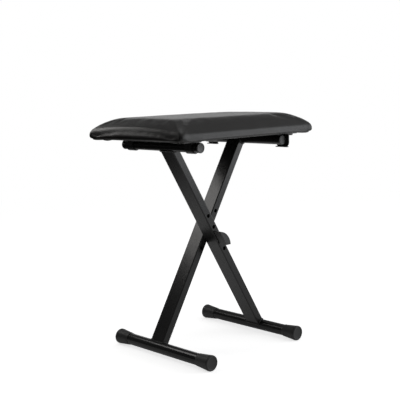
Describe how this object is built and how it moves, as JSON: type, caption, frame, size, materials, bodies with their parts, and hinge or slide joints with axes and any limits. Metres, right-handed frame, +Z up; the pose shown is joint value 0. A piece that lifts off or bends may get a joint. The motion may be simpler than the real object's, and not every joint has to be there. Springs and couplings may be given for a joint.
{
  "type": "folding keyboard bench",
  "caption": "Folding bench with crossed rectangular-tube legs on a knobbed pivot bolt, round cross tubes with rubber foot caps, and a hinged padded vinyl seat.",
  "frame": {"origin": "on the floor under the middle of the bench", "axes": "+X along the seat's long side towards the end that lifts off its tube, +Y from the knob's side (front) to the rear, +Z up"},
  "size_m": [0.401, 0.289, 0.505],
  "materials": {
    "frame_satin": "satin black powder coat",
    "frame_gloss": "gloss black paint",
    "bracket_steel": "satin black paint on pressed steel",
    "cap_rubber": "matt black moulded rubber",
    "pad_rubber": "matt black rubber",
    "plug_plastic": "matt black moulded plastic",
    "knob_plastic": "matt black moulded plastic",
    "nylon": "black nylon",
    "black_zinc": "black zinc plated",
    "bright_zinc": "bright zinc plated",
    "vinyl": "black grained vinyl, soft sheen",
    "foam": "open-cell foam",
    "plywood": "raw plywood",
    "dust_cloth": "black non-woven cloth"
  },
  "bodies": {
    "front_leg": {"front_leg_tube": "frame_satin", "foot_tube_right": "frame_gloss", "top_tube_left": "frame_gloss", "front_leg_welds": "frame_satin", "foot_cap_right_front": "cap_rubber", "foot_cap_right_rear": "cap_rubber", "top_plug_left_front": "plug_plastic", "top_plug_left_rear": "plug_plastic", "leg_spacer_washer": "nylon"},
    "rear_leg": {"rear_leg_tube": "frame_satin", "foot_tube_left": "frame_gloss", "top_tube_right": "frame_gloss", "rear_leg_welds": "frame_satin", "foot_cap_left_front": "cap_rubber", "foot_cap_left_rear": "cap_rubber", "top_plug_right_front": "plug_plastic", "top_plug_right_rear": "plug_plastic", "weld_nuts": "frame_satin"},
    "bolt_slide": {"knob_washer": "black_zinc"},
    "knob": {"pivot_bolt": "black_zinc", "pivot_knob": "knob_plastic"},
    "seat": {"seat_board": "plywood", "seat_foam": "foam", "seat_cover": "vinyl", "dust_cover": "dust_cloth", "cover_staples": "bright_zinc", "tee_nuts": "bright_zinc", "hinge_saddle_front": "bracket_steel", "hinge_saddle_rear": "bracket_steel", "saddle_pad_front": "nylon", "saddle_pad_rear": "nylon", "saddle_screws": "black_zinc", "rest_bracket_front": "bracket_steel", "rest_bracket_rear": "bracket_steel", "rest_pad_front": "pad_rubber", "rest_pad_rear": "pad_rubber", "bracket_screws": "black_zinc"}
  },
  "joints": [
    {"name": "leg_fold", "type": "hinge", "parent": "front_leg", "child": "rear_leg", "pos_m": [0, 0, 0.24032], "axis": [0, -1, 0], "range_deg": [0, 54]},
    {"name": "seat_tilt", "type": "hinge", "parent": "front_leg", "child": "seat", "pos_m": [-0.124, 0, 0.44581], "axis": [0, -1, 0], "range_deg": [0, 121]},
    {"name": "bolt_pull", "type": "slide", "parent": "front_leg", "child": "bolt_slide", "axis": [0, -1, 0], "range_m": [0, 0.085]},
    {"name": "knob_turn", "type": "hinge", "parent": "bolt_slide", "child": "knob", "pos_m": [0, 0, 0.24032], "axis": [0, -1, 0], "continuous": true}
  ],
  "couplings": [
    {"joint": "seat_tilt", "follows": "leg_fold", "ratio": 2.24}
  ]
}
